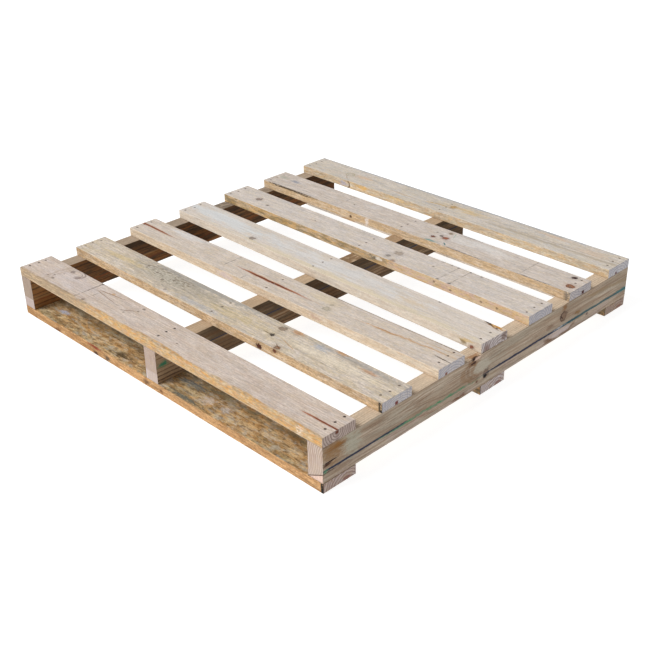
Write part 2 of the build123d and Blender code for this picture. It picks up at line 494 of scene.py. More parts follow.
        face = self.flat(pale).mixed(self.flat(edge), self.on_edge)
        fading = uneven.smooth(0.35, 0.6)
        face = face.mixed(late, latewood * fading * line)
        face = face.mixed(late, fibre.smooth(0.5, 0.72) * grain)
        face = face.mixed(tuple(c * 0.6 for c in late[:3]) + (1.0,), fleck.smooth(0.62, 0.74) * grain)
        for mask, tint in self.stains:
            face = face.mixed(tint, mask)
        shade = 1 + (speck - 0.5) * (2.2 * speckle) + (brush - 0.5) * (1.6 * speckle)
        face = face.scaled(shade + (fibre - 0.5) * (0.9 * speckle))

        pore = place.cloud((6, 1.1, 1.1), seed=seed + 10, detail=3, roughness=0.7)
        torn = place.cloud((40, 4.2, 44), seed=seed + 11, detail=3, roughness=0.6)
        patchy = place.cloud((40, 14, 9), seed=seed + 12, detail=3, roughness=0.6)
        cut = self.flat(end).mixed(pale, patchy.smooth(0.45, 0.65) * 0.4)
        cut = cut.mixed(end_late, torn.smooth(0.5, 0.64) * 0.5)
        cut = cut.mixed(end_late, latewood * end_line)
        for mask, tint in self.end_layers:
            cut = cut.mixed(tint, mask)
        cut = cut.scaled(1 + (pore - 0.5) * 0.7 + (torn - 0.5) * 0.5)
        wood = face.mixed(cut, self.on_end)
        # Cracks are darkened here as painted shade, and nail craters by their grime.
        wood = wood.mixed(crack_shade_and_grime, self.crack_shade_and_grime * 0.9)

        height = fibre * 0.5 + latewood * 0.35 + brush * 0.5 + saw * (0.35 * rough) + speck * (0.5 * rough)
        height = height - self.on_end * (height - pore * 0.8 - latewood * 0.5)
        bump = {"Height": height, "Strength": 0.6 * rough + 0.15, "Distance": 0.0006}
        normal = self.wire.node("ShaderNodeBump", None, bump)
        roughness = 0.72 + fibre * 0.2 - latewood * 0.05
        sockets = {"Base Color": wood, "Roughness": roughness, "Normal": normal, "Specular IOR Level": 0.25}
        shader = self.wire.node("ShaderNodeBsdfPrincipled", None, sockets)
        output = self.wire.tree.nodes.new("ShaderNodeOutputMaterial")
        self.wire.tree.links.new(shader.socket, output.inputs["Surface"])
        return self.material


ALONG_BEARERS = (0, 1, 0)
INK_SLATE = colour(46, 50, 68)
INK_GREEN = colour(84, 128, 100)
INK_TEAL = colour(56, 108, 110)


def bearer(node, seed, u_spots=(), w_spots=()):
    """One bearer's skin, eased and weathered, ready for its own marks."""
    stick = Stick(node, ALONG_BEARERS)
    timber = Timber(stick, seed, pitch=(6.0, 4.0, 4.0), u_spots=u_spots, w_spots=w_spots)
    timber.ease_all(1.6)
    timber.weather(0.25)
    return stick, timber


def stripes(wood, rows):
    """Long dark stripes of latewood down the right-hand face of a bearer.

    Each row is a stripe's height on the face, its half width, its colour and its strength."""
    for height, half, tint, strength in rows:
        start = (-560, height - 2)
        finish = (1320, height + 3)
        wood.streak(start, finish, half, tint, strength * 0.75, on_side=True, open_end=True)


stick, timber = bearer("left_bearer", 11)
timber.split(timber.near, 1, 36.0, (0, 120), 2.5, open_ends=(True, False))
wood = Pine("pine_left_bearer", stick, 11)
# Partly painted shade: the inner face back from the front end gets a dark weathered brown, made darker for
# the deck's shade.
wood.coat(colour(66, 50, 34), 0.92, (260, 30, 16), cover=0.8, face=wood.on_near * wood.u.smooth(60, 200))
wood.coat(colour(128, 82, 40), 0.6, (140, 20, 14), cover=0.5, face=wood.on_near)
# Painted shade: darker again towards the top of the inner face further back, under the deck.
painted_shade_under_deck = wood.on_near * wood.u.smooth(90, 260) * wood.w.smooth(36, 74)
wood.coat(colour(46, 36, 26), 0.6, (200, 30, 14), cover=0.85, face=painted_shade_under_deck)
stripes(wood, (
    (61, 3.4, colour(50, 36, 22), 0.9), (44, 2.0, colour(60, 38, 22), 0.8),
    (25, 2.6, colour(104, 52, 28), 0.8), (13, 2.4, colour(62, 36, 20), 0.85),
    (78, 3.0, colour(52, 38, 26), 0.85), (34, 1.8, colour(66, 40, 22), 0.75),
))
wood.coat(colour(168, 152, 136), 0.35, (160, 20, 20), cover=0.45, face=1 - wood.on_near, edge=0.15)
# Each row is a gap between deck boards: its middle along the bearer, and how the top looks there.
gaps = (
    (500, colour(134, 120, 104), 0.4), (680, colour(106, 94, 80), 0.75),
    (852, colour(118, 104, 88), 0.6),
)
for middle, tint, strength in gaps:
    wood.coat(tint, strength, (30, 12, 12), cover=0.75, face=wood.on_top * wood.u.within(middle, 74))
wood.end_layers.append((wood.w.smooth(28, 23) * 0.45, colour(200, 184, 184)))
wood.end_layers.append((wood.w.within(27, 2.2) * 0.45, colour(214, 204, 200)))
material = wood.finish(
    pale=colour(172, 154, 134), late=colour(112, 84, 58), edge=colour(140, 104, 66),
    end=colour(166, 148, 131),
    end_late=colour(132, 112, 102), pith=(-60, 45), ring=5.5, warp=16, line=0.5,
)
timber.piece("bearer_left", material, "bearer_pine")

stick, timber = bearer("middle_bearer", 12)
timber.split(timber.near, 1, 20.0, (0, 200), 2.0, open_ends=(True, False))
wood = Pine("pine_middle_bearer", stick, 12)
# Partly painted shade: the inner face back from the front end gets a dark weathered brown, made darker for
# the deck's shade.
wood.coat(colour(86, 72, 54), 0.85, (200, 30, 14), cover=0.75, face=wood.on_near * wood.u.smooth(50, 200))
wood.coat(colour(112, 80, 50), 0.5, (120, 8, 6), cover=0.5, face=wood.on_near * wood.u.smooth(30, 200))
# Painted shade: darker again towards the top of the inner face further back, under the deck.
painted_shade_under_deck = wood.on_near * wood.u.smooth(90, 260) * wood.w.smooth(36, 74)
wood.coat(colour(52, 44, 34), 0.6, (200, 30, 14), cover=0.85, face=painted_shade_under_deck)
stripes(wood, (
    (68, 2.2, colour(96, 66, 40), 0.8), (31, 2.0, colour(82, 56, 36), 0.9),
    (20, 2.4, colour(70, 48, 30), 0.9), (9, 2.4, colour(60, 40, 26), 0.9),
    (79, 2.2, colour(80, 60, 42), 0.85), (41, 1.8, colour(104, 76, 50), 0.75),
))
wood.streak((-40, 52), (1210, 52), 2.6, INK_SLATE, 0.85, on_side=True, open_end=True, ragged=0.4)
wood.patch(20, 48, (14, 7), colour(58, 112, 84), 1.0, on_side=True, fill=0.66)
wood.patch(830, 50, (14, 5), INK_GREEN, 0.9, on_side=True, fill=0.6)
wood.coat(colour(172, 148, 122), 0.35, (160, 20, 20), cover=0.45, face=1 - wood.on_near, edge=0.15)
# The same rows for the gaps over this bearer.
gaps = ((675, colour(112, 84, 54), 0.75), (850, colour(140, 108, 74), 0.45))
for middle, tint, strength in gaps:
    wood.coat(tint, strength, (30, 12, 12), cover=0.75, face=wood.on_top * wood.u.within(middle, 74))
wood.end_layers.append((wood.w.smooth(30, 24) * 0.4, colour(204, 190, 184)))
wood.end_layers.append((wood.v.smooth(38, 44) * wood.w.smooth(40, 10) * 0.6, colour(206, 196, 204)))
material = wood.finish(
    pale=colour(188, 164, 136), late=colour(132, 102, 74), edge=colour(152, 130, 104),
    end=colour(183, 164, 151),
    end_late=colour(146, 122, 110), pith=(110, 45), ring=5.0, warp=16, line=0.4,
)
timber.piece("bearer_middle", material, "bearer_pine")

SPLIT_RISE = 23.0     # how high the broken wedge reaches up the right bearer's outer face
SPLIT_REACH = 55.0    # how far back along the bearer its crack dies out


def broken_wedge(timber):
    """Splits the lower outer corner of the front end off along a slope, and sets it back a little."""
    stick = timber.stick
    fade = np.clip(1 - timber.u / SPLIT_REACH, 0, 1)
    drop = fade * (SPLIT_RISE - 1.0) * timber.v / stick.width
    below = timber.w <= SPLIT_RISE
    squash = (SPLIT_RISE - drop) / SPLIT_RISE
    stretch = (stick.height - SPLIT_RISE + drop) / (stick.height - SPLIT_RISE)
    sloped = np.where(below, timber.w * squash, stick.height - (stick.height - timber.w) * stretch)
    timber.now[:, 2] += sloped - timber.w
    crack = np.abs(timber.w - SPLIT_RISE) < RASTER / 2
    wedge = timber.start & (timber.w < SPLIT_RISE - RASTER / 2)
    timber.now[wedge, 0] += 1.6
    timber.now[timber.start & crack, 0] += 4.0
    # The crack across the front end is coloured dark as painted shade.
    timber.crack_shade_and_grime[timber.start & crack] = 1.0
    outer = timber.near & (timber.w < SPLIT_RISE - RASTER / 2)
    timber.now[outer, 1] += (0.9 * fade * np.clip(timber.w / 6, 0, 1))[outer]


stick, timber = bearer("right_bearer", 13, u_spots=(10, 540, 863), w_spots=(SPLIT_RISE, 43, 48, 58))
broken_wedge(timber)
timber.split(timber.near, 1, SPLIT_RISE, (0, 46), 3.0, wander=0.6, open_ends=(True, False))
timber.split(timber.near, 1, 48.0, (0, 46), 3.0, wander=2.0, open_ends=(True, False))
timber.split(timber.near, 1, 43.0, (0, 26), 2.5, wander=1.5, open_ends=(True, False))
timber.set_knots([(541, 22, 6), (865, 57, 11), (497, 84, 8)], timber.near, 1, 1)
wood = Pine("pine_right_bearer", stick, 13)
outer = wood.on_near
wood.swirl(400, 60, (150, 16), on_side=True)
wood.swirl(498, 84, (60, 24), on_side=True)
wood.swirl(858, 28, (75, 14), on_side=True)
wood.coat(colour(150, 144, 128), 0.5, (150, 20, 26), cover=0.5, face=outer, detail=2, edge=0.12)
wood.coat(colour(196, 180, 160), 0.4, (120, 20, 16), cover=0.45, face=outer, detail=2, edge=0.12)
wood.coat(colour(140, 114, 90), 0.5, (190, 20, 14), cover=0.45, face=outer, detail=2, edge=0.12)
wood.coat(colour(184, 164, 154), 0.5, (60, 8, 9), cover=0.42, face=outer * wood.w.smooth(34, 20))
wood.coat(colour(116, 88, 68), 0.5, (90, 6, 3.2), cover=0.36, face=outer)
wood.patch(86, 62, (30, 34), colour(166, 162, 144), 0.75, on_side=True, fill=0.6)
wood.patch(28, 74, (38, 20), colour(130, 96, 60), 0.8, on_side=True, fill=0.55)
wood.patch(30, 58, (38, 30), colour(142, 110, 76), 0.7, on_side=True, fill=0.5)
wood.patch(42, 77, (30, 8), colour(132, 90, 44), 0.85, on_side=True, pitch=(24, 5, 5), fill=0.5)
forks = (
    ((230, 62), (345, 82)), ((230, 61), (415, 34)),
    ((280, 58), (372, 72)), ((280, 57), (385, 47)),
)
for start, finish in forks:
    wood.streak(start, finish, 2.0, colour(132, 106, 84), 0.7, on_side=True, ragged=0.6)
wood.streak((290, 24), (372, 9), 2.4, colour(136, 104, 86), 0.6, on_side=True)
wood.streak((96, 77), (236, 75), 3.0, colour(132, 108, 84), 0.6, on_side=True)
wood.patch(532, 54, (38, 17), colour(178, 169, 152), 0.8, on_side=True, pitch=(20, 8, 8), fill=0.6)
left_of_knot = wood.u.smooth(530, 505)
waves = (
    ((58, 27), colour(112, 78, 46)), ((44, 21), colour(132, 98, 66)),
    ((74, 34), colour(130, 96, 62)),
)
for reach, tint in waves:
    wood.arc(532, 56, reach, tint, 0.5, 0.3, part=left_of_knot, on_side=True)
wood.patch(490, 80, (22, 15), colour(120, 86, 56), 0.75, on_side=True, pitch=(12, 6, 8), fill=0.5)
wood.patch(509, 85, (12, 5), colour(222, 192, 172), 0.9, on_side=True, fill=0.62)
wood.patch(497, 88, (9, 4), colour(40, 22, 18), 1.0, on_side=True, pitch=(8, 4, 4), fill=0.62)
wood.patch(494, 77, (10, 3.5), colour(58, 34, 28), 1.0, on_side=True, pitch=(8, 4, 4), fill=0.62)
wood.patch(500, 8, (24, 10), colour(150, 108, 72), 0.8, fill=0.55)
wood.patch(502, 1, (12, 4), colour(56, 34, 26), 0.9, fill=0.6)
wood.patch(866, 80, (12, 11), colour(132, 94, 56), 0.9, on_side=True, fill=0.6)
wood.patch(806, 48, (18, 9), colour(122, 98, 78), 0.7, on_side=True, fill=0.6)
wood.knot(865, 57, 10, colour(124, 96, 76), 0.7, on_side=True)
wood.arc(866, 56, (16, 12), colour(66, 44, 34), 0.8, 0.45, part=wood.u.smooth(872, 858), on_side=True)
wood.streak((848, 63), (862, 50), 2.8, colour(66, 42, 32), 0.9, on_side=True, open_end=True, ragged=0.5)
wood.patch(850, 16, (54, 11), colour(190, 174, 168), 0.9, on_side=True, pitch=(34, 8, 6), fill=0.64)
wood.arc(850, 27, (64, 25), colour(112, 84, 62), 0.7, 0.35, part=wood.w.smooth(24, 15), on_side=True)
wood.patch(800, 8, (20, 7), colour(112, 80, 50), 0.8, on_side=True)
wood.patch(446, 7, (32, 5), colour(106, 68, 42), 0.85, on_side=True)
wood.patch(931, 43, (20, 6), colour(130, 98, 60), 0.85, on_side=True)
wood.streak((950, 74), (1190, 52), 6.0, colour(134, 112, 82), 0.6, on_side=True, open_end=True)
# Painted shade: the dark lines along the three splits at the front of the outer face.
wood.streak((0, 46), (44, 48), 3.0, colour(60, 36, 30), 0.95, on_side=True)
wood.streak((0, 41), (30, 43), 2.2, colour(84, 52, 42), 0.9, on_side=True)
wood.streak((-20, SPLIT_RISE), (52, SPLIT_RISE + 1), 1.6, colour(60, 42, 34), 0.9, on_side=True)
wood.knot(545, 31, 8, colour(122, 100, 86), 0.7, on_side=True)
wood.streak((-60, 30), (262, 29.5), 3.8, INK_SLATE, 1.0, on_side=True, open_end=True, ragged=0.35)
wood.streak((150, 28.0), (565, 27), 4.0, INK_GREEN, 0.7, on_side=True, ragged=1.2)
for u in (268, 335, 372, 412, 452):
    wood.patch(u, 28, (14, 3.8), colour(66, 132, 88), 0.75, on_side=True, pitch=(9, 4, 4), fill=0.42)
wood.streak((500, 29), (930, 29), 4.2, INK_SLATE, 1.0, on_side=True, open_end=True, ragged=0.4)
wood.streak((800, 29), (1190, 28), 4.4, colour(44, 84, 90), 0.9, on_side=True, open_end=True, ragged=0.5)
wood.patch(1145, 28, (26, 6), INK_TEAL, 0.8, on_side=True, fill=0.6)
wood.patch(852, 30, (30, 3), colour(190, 188, 190), 0.7, on_side=True, fill=0.5)
wood.patch(8, 28, (9, 5), INK_GREEN, 0.8, on_side=True, fill=0.6)
wood.speck(542, 22, 6.0, colour(14, 12, 20), 1.0, on_side=True)
wood.speck(511, 20, 3.5, colour(90, 62, 52), 0.8, on_side=True)
wood.speck(976, 20, 4.5, colour(92, 74, 70), 0.8, on_side=True)
slope = wood.v * ((SPLIT_RISE - 1) / stick.width) + wood.w - SPLIT_RISE
wood.end_layers.append((slope.smooth(0.4, -0.4) * wood.u.smooth(6, 5), colour(214, 184, 168)))
# Painted shade: the dark line along the wedge's crack on the end.
wood.end_layers.append((slope.within(0, 2.2) * wood.u.smooth(6, 5) * 0.95, colour(74, 48, 38)))
material = wood.finish(
    pale=colour(202, 182, 158), late=colour(146, 120, 92), edge=colour(180, 163, 144),
    end=colour(191, 174, 161),
    end_late=colour(150, 124, 110), pith=(-70, 45), ring=5.5, warp=16, line=0.45, speckle=0.35,
)
timber.piece("bearer_right", material, "bearer_pine")

# ---- Deck boards ----------------------------------------------------------------------------
# Seven pine boards, 25 thick, rough sawn and nailed flat across the bearers.  Their tops have
# weathered to a pinkish beige, while the front edges show fresher golden wood.

ALONG_BOARDS = (1, 0, 0)


def nail_spots(stick, nails, face_down=False):
    """Where the heads of a group of nails lie on a board, read from the nails themselves."""
    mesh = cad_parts[nails].data
    points = np.empty(3 * len(mesh.vertices))
    mesh.vertices.foreach_get("co", points)
    points = points.reshape(-1, 3) * MM
    level = points[:, 2].min() if face_down else points[:, 2].max()
    heads = points[np.abs(points[:, 2] - level) < 0.01]
    spots = []
    for head in heads:
        group = heads[np.hypot(*(heads[:, :2] - head[:2]).T) < 8]
        middle = (group.min(axis=0) + group.max(axis=0)) / 2 - stick.origin
        spot = (round(float(middle @ stick.u_way), 1), round(float(middle @ stick.v_way), 1))
        if all(math.hypot(spot[0] - u, spot[1] - v) > 4 for u, v in spots):
            spots.append(spot)
    return spots


def deck_board(number, seed, wane=None, splits=(), knots=(), knocks=(), grime=0.32):
    """One deck board's skin with its nail craters, cracks, knots and broken corners."""
    node = f"deck_board_{number}"
    stick = Stick(node, ALONG_BOARDS)
    nails = nail_spots(stick, node + "_nails")
    u_spots = [u for u, v in nails]
    v_spots = [v for u, v in nails]
    for line, span, depth, open_ends in splits:
        v_spots.append(line)
    timber = Timber(stick, seed, pitch=(7.0, 4.0, 5.0), u_spots=u_spots, v_spots=v_spots)
    timber.ease_all(1.3, wane)
    timber.weather(0.35)
    for line, span, depth, open_ends in splits:
        timber.split(timber.top, 2, line, span, depth, open_ends=open_ends)
    timber.set_knots(knots, timber.top, 2, -1)
    for corner, size in knocks:
        timber.knock(corner, size)
    timber.sink_nails(nails, timber.top, -1, grime=grime)
    return stick, timber


RESIN = colour(166, 100, 62)
RESIN_DARK = colour(98, 52, 34)
YELLOW = colour(210, 192, 160)
GREY = colour(160, 151, 144)
BLUE_GREY = colour(170, 172, 178)
LILAC = colour(204, 194, 194)
BROWN = colour(152, 126, 106)
BARK = colour(52, 38, 28)


def top_weather(wood, yellow=0.3, grey=0.3, bleached=0.3, brown=0.2):
    """The blotches that rain and mould leave on the top of a board."""
    wood.coat(YELLOW, yellow, (46, 11, 11), cover=0.45, face=wood.on_top)
    wood.coat(BLUE_GREY, grey, (38, 9, 9), cover=0.42, face=wood.on_top)
    wood.coat(colour(226, 214, 206), bleached, (60, 15, 15), cover=0.45, face=wood.on_top)
    wood.coat(BROWN, brown, (30, 2.6, 2.6), cover=0.36, face=wood.on_top)
    wood.coat(YELLOW, yellow * 0.8, (12, 5, 5), cover=0.4, face=wood.on_top)
    wood.coat(GREY, grey * 0.8, (11, 4, 4), cover=0.36, face=wood.on_top)


def edge_weather(wood, gold=0.3, brown=0.3, pale=0.4):
    """The blotches on the sawn edges of a board."""
    wood.coat(colour(230, 216, 198), pale, (50, 30, 9), cover=0.42, face=wood.on_edge)
    wood.coat(colour(218, 172, 108), gold, (30, 30, 7), cover=0.42, face=wood.on_edge)
    wood.coat(colour(156, 126, 96), brown, (36, 30, 6), cover=0.4, face=wood.on_edge)
    wood.coat(colour(138, 110, 86), brown, (11, 30, 3), cover=0.34, face=wood.on_edge)


def wane_across(u, eased):
    """How far the missing bark corner of the front board reaches over its top."""
    return np.maximum(eased, 5 + 2.6 * drift(901, (u, 110)) + 1.6 * drift(902, (u, 18)))


def wane_down(u, eased):
    """How far the missing bark corner reaches down its edge."""
    return np.maximum(eased, 3.6 + 2.0 * drift(903, (u, 90)) + 1.4 * drift(904, (u, 14)))


stick, timber = deck_board(
    1, 21, grime=1.0, wane=((0, 1), wane_across, wane_down),
    splits=[(44.0, (1090, 1170), 1.0, (False, True))],
    knots=[(133, 83, 6), (172, 71, 6)],
)
wood = Pine("pine_deck_1", stick, 21)
wood.swirl(180, 72, (60, 20))
top_weather(wood, yellow=0.15, grey=0.2, bleached=0.35, brown=0.3)
wood.patch(190, 56, (150, 44), LILAC, 0.4, pitch=(40, 16, 16), fill=0.45)
wood.knot(133, 83, 5, colour(138, 122, 116), 0.6)
wood.knot(172, 71, 6, colour(160, 144, 138), 0.5)
for reach in ((23, 17), (15, 10)):
    wood.arc(160, 80, reach, colour(134, 116, 108), 0.7, 0.4, part=wood.u.smooth(158, 172))
for reach in ((26, 60), (40, 74)):
    wood.arc(140, 50, reach, colour(176, 156, 138), 0.5, 0.35, part=wood.u.smooth(130, 118))
wood.streak((1050, 43), (1190, 45), 4.0, colour(160, 104, 76), 0.95, open_end=True, ragged=0.3)
wood.streak((1090, 44), (1190, 45), 2.0, colour(116, 64, 44), 0.9, open_end=True, ragged=0.3)
wood.streak((262, 69), (400, 87), 1.9, colour(140, 110, 88), 0.8, ragged=0.7)
wood.streak((258, 68), (400, 50), 1.9, colour(146, 116, 94), 0.7, ragged=0.7)
wood.streak((398, 40), (452, 72), 2.6, colour(128, 104, 88), 0.75, ragged=0.8)
wood.speck(323, 82, 5, colour(190, 150, 104), 0.7)
wood.crosscut(254, 0.9, half=3.2)
wood.speck(254, 97, 5, colour(92, 84, 78), 0.8)
wood.crosscut(288, 0.6, side=(0, 60))
wood.crosscut(216, 0.3)
for u, v, radius in ((97, 27, 3), (123, 26, 4.5), (287, 12, 4.5), (447, 86, 4.5), (445, 69, 3), (420, 42, 3),
                     (643, 37, 2.5), (110, 40, 3), (125, 60, 2.5)):
    wood.speck(u, v, radius, colour(112, 98, 88), 0.7)
reach = wood.place.cloud((170, 400, 400), seed=5, detail=2) * 20 - 6
reach = reach + wood.place.cloud((26, 400, 400), seed=6, detail=3) * 7
worn = (wood.v - reach).smooth(3.5, -2.5) * wood.on_skin * wood.w.smooth(1, 5)
bark_gone = worn * wood.u.smooth(150, 460)
wood.coat(colour(182, 153, 117), 0.8, (70, 24, 24), cover=0.85, face=worn)
wood.coat(colour(206, 158, 88), 0.7, (44, 12, 9), cover=0.55, face=bark_gone)
wood.coat(colour(202, 182, 150), 0.65, (22, 8, 5), cover=0.42, face=worn)
wood.coat(colour(142, 122, 98), 0.6, (16, 6, 3.5), cover=0.36, face=worn)
wood.coat(colour(148, 128, 106), 0.7, (40, 10, 6), cover=0.55, face=worn * wood.u.smooth(420, 200))
wood.coat(colour(230, 216, 198), 0.7, (7, 4, 4), cover=0.5, face=wood.on_near * wood.u.within(1098, 14))
wood.coat(colour(206, 142, 78), 0.5, (18, 6, 5), cover=0.3, face=bark_gone)
wood.end_layers.append((wood.w.within(20, 5) * wood.v.within(43, 6), RESIN_DARK))
material = wood.finish(
    pale=colour(209, 191, 177), late=colour(168, 142, 124), edge=colour(190, 166, 138),
    end=colour(178, 160, 150),
    end_late=colour(112, 92, 86), pith=(43, 21), ring=6.5, warp=12, end_line=0.8, line=0.4,
)
timber.piece("deck_board_front", material, "deck_pine")

stick, timber = deck_board(
    2, 22, knots=[(775, 42, 5), (772, 79, 8)], knocks=[((1, 0, 1), (5, 5, 6))],
)
wood = Pine("pine_deck_2", stick, 22)
wood.swirl(840, 20, (50, 20))
top_weather(wood, yellow=0.45, grey=0.3, bleached=0.45, brown=0.35)
wood.patch(390, 56, (240, 44), colour(162, 153, 138), 0.7, pitch=(40, 8, 8), fill=0.52)
wood.patch(340, 64, (130, 30), colour(112, 100, 84), 0.8, pitch=(16, 4, 4), fill=0.36)
wood.patch(330, 60, (140, 34), colour(214, 206, 190), 0.6, pitch=(12, 4, 4), fill=0.3)
wood.patch(530, 16, (110, 12), BLUE_GREY, 0.5, fill=0.5)
wood.patch(480, 90, (330, 12), colour(154, 150, 144), 0.7, pitch=(16, 5, 5), fill=0.5)
wood.patch(1020, 86, (190, 10), colour(156, 151, 146), 0.7, pitch=(16, 5, 5), fill=0.5)
wood.patch(905, 74, (26, 11), BLUE_GREY, 0.8, fill=0.6)
wood.patch(165, 50, (110, 11), colour(204, 182, 138), 0.65, pitch=(30, 7, 7), fill=0.56)
wood.patch(640, 44, (140, 22), colour(196, 176, 136), 0.65, pitch=(26, 6, 6), fill=0.5)
wood.patch(960, 52, (150, 18), colour(220, 206, 184), 0.7, pitch=(30, 7, 7), fill=0.6)
wood.patch(815, 90, (18, 8), colour(186, 140, 100), 0.8, fill=0.65)
wood.patch(962, 94, (20, 6), colour(190, 146, 104), 0.85, fill=0.65)
wood.patch(1060, 74, (26, 6), colour(184, 146, 118), 0.8, fill=0.65)
wood.knot(775, 42, 4.5, colour(84, 76, 68), 1.0)
wood.knot(772, 79, 7, colour(146, 124, 104), 0.75)
wood.streak((740, 42), (778, 41), 1.2, colour(96, 76, 58), 0.8)
wood.streak((812, 20), (842, 4), 2.2, colour(92, 60, 38), 0.85)
wood.streak((800, 46), (880, 22), 1.6, colour(170, 124, 72), 0.7, ragged=1.2)
wood.knot(829, 8, 6, colour(128, 88, 58), 0.7)
edge_weather(wood, gold=0.2, brown=0.45, pale=0.35)
wood.knot(772, 9.5, 6, colour(84, 46, 34), 1.0, on_side=True)
wood.knot(828, 19, 4, colour(110, 60, 42), 0.9, on_side=True)
for u, v, radius in ((300, 59, 4), (345, 42, 5), (395, 12, 4), (316, 60, 3), (250, 70, 4), (372, 60, 4)):
    wood.speck(u, v, radius, colour(104, 86, 74), 0.6)
wood.coat(colour(34, 34, 33), 0.95, (7, 5, 9), cover=0.8, face=wood.on_near * wood.u.smooth(1152, 1159))
wood.end_layers.append((wood.w.within(5, 7) * wood.v.within(48, 7), colour(112, 58, 52)))
wood.end_layers.append((wood.v.smooth(4, 0), colour(40, 38, 36)))
material = wood.finish(
    pale=colour(208, 194, 174), late=colour(172, 148, 120), edge=colour(214, 184, 145),
    end=colour(192, 187, 188),
    end_late=colour(128, 126, 138), pith=(60, -50), ring=6.0, warp=34, end_line=0.58, line=0.35, speckle=0.5,
)
timber.piece("deck_board_2nd", material, "deck_pine")

stick, timber = deck_board(3, 23, splits=[(43.0, (1118, 1170), 1.2, (False, True))])
wood = Pine("pine_deck_3", stick, 23)
top_weather(wood, yellow=0.25, grey=0.25, bleached=0.35, brown=0.2)
wood.patch(180, 78, (90, 20), colour(212, 210, 210), 0.6, pitch=(40, 12, 12), fill=0.55)
wood.patch(740, 70, (60, 20), YELLOW, 0.6, fill=0.55)
for start, finish, half in (((-60, 52), (180, 44), 5.6), ((415, 45), (750, 42), 6.6)):
    wood.streak(start, finish, half, RESIN, 0.9, ragged=0.35)
wood.streak((-60, 52), (165, 44.5), 2.8, RESIN_DARK, 0.8, ragged=0.4)
wood.streak((455, 44), (690, 42.5), 3.6, RESIN_DARK, 0.95, ragged=0.4)
wood.streak((850, 47), (1240, 70), 4.4, colour(190, 152, 114), 0.75, ragged=1.2)
wood.streak((920, 52), (1010, 55), 3.0, colour(170, 128, 90), 0.8, ragged=1.2)
wood.streak((1040, 74), (1210, 86), 2.4, colour(190, 158, 120), 0.6, ragged=1.2)
wood.streak((1112, 46), (1175, 41), 1.6, colour(84, 66, 50), 0.95, open_end=True)
wood.knot(774, 36, 8, colour(176, 166, 140), 0.45)
wood.knot(771, 60, 4, colour(170, 156, 138), 0.45)
wood.crosscut(393, 0.7)
wood.crosscut(487, 0.6, side=(0, 24))
edge_weather(wood, gold=0.15, brown=0.2, pale=0.5)
wood.patch(430, 13, (36, 9), colour(204, 186, 182), 0.8, on_side=True)
wood.patch(770, 14, (24, 8), colour(190, 160, 140), 0.8, on_side=True)
wood.patch(1080, 16, (90, 7), colour(218, 204, 184), 0.8, on_side=True, fill=0.6)
wood.end_layers.append((wood.w.within(4, 5) * wood.v.within(28, 6), colour(126, 84, 70)))
wood.coat(colour(150, 122, 98), 0.8, (9, 9, 6), cover=0.45, face=wood.on_end * wood.w.smooth(8, 2))
material = wood.finish(
    pale=colour(210, 196, 182), late=colour(182, 160, 140), edge=colour(219, 200, 174),
    end=colour(190, 185, 187),
    end_late=colour(126, 124, 134), pith=(45, -40), ring=7.0, warp=26, end_line=0.58, line=0.3,
)
timber.piece("deck_board_3rd", material, "deck_pine")

stick, timber = deck_board(
    4, 24, splits=[(88.0, (1092, 1150), 1.4, (False, False))], knots=[(319, 20, 7)],
    knocks=[((1, 0, 1), (9, 4, 5))],
)
wood = Pine("pine_deck_4", stick, 24)
top_weather(wood, yellow=0.2, grey=0.15, bleached=0.3, brown=0.12)
wood.patch(170, 52, (190, 30), colour(208, 212, 214), 0.65, pitch=(50, 14, 14), fill=0.6)
wood.patch(620, 50, (320, 34), colour(212, 212, 212), 0.5, pitch=(50, 14, 14), fill=0.55)
wood.patch(720, 8, (460, 12), colour(214, 198, 168), 0.7, pitch=(50, 8, 8), fill=0.66)
wood.patch(900, 44, (60, 14), colour(206, 182, 146), 0.5, fill=0.5)
wood.patch(1136, 93, (24, 9), colour(200, 156, 92), 0.9, fill=0.66)
wood.knot(319, 20, 6.5, colour(146, 130, 118), 0.75)
wood.streak((1082, 101), (1136, 86), 4.2, BARK, 0.95, ragged=0.8)
wood.streak((1100, 92), (1165, 76), 2.0, colour(128, 88, 52), 0.8, ragged=0.9)
wood.streak((1120, 96), (1165, 84), 3.0, colour(176, 122, 56), 0.8, ragged=0.8)
wood.speck(955, 94, 3, colour(80, 74, 66), 0.8)
edge_weather(wood, gold=0.08, brown=0.15, pale=0.4)
wood.patch(1108, 11, (13, 7), colour(128, 108, 72), 0.85, on_side=True, fill=0.58)
wood.patch(1120, 17, (22, 5), colour(206, 176, 120), 0.7, on_side=True, fill=0.55)
wood.knot(1134, 6, 4, colour(138, 76, 58), 0.85, on_side=True)
wood.end_layers.append((wood.v.within(84, 14) * wood.w.within(14, 14) * 0.7, colour(104, 78, 64)))
wood.end_layers.append((wood.v.within(20, 14) * wood.w.smooth(22, 8) * 0.7, colour(122, 92, 80)))
material = wood.finish(
    pale=colour(214, 204, 194), late=colour(190, 174, 158), edge=colour(212, 201, 186),
    end=colour(196, 186, 184),
    end_late=colour(112, 96, 92), pith=(70, -12), ring=8.0, warp=30, line=0.3, speckle=0.28,
)
timber.piece("deck_board_4th", material, "deck_pine")

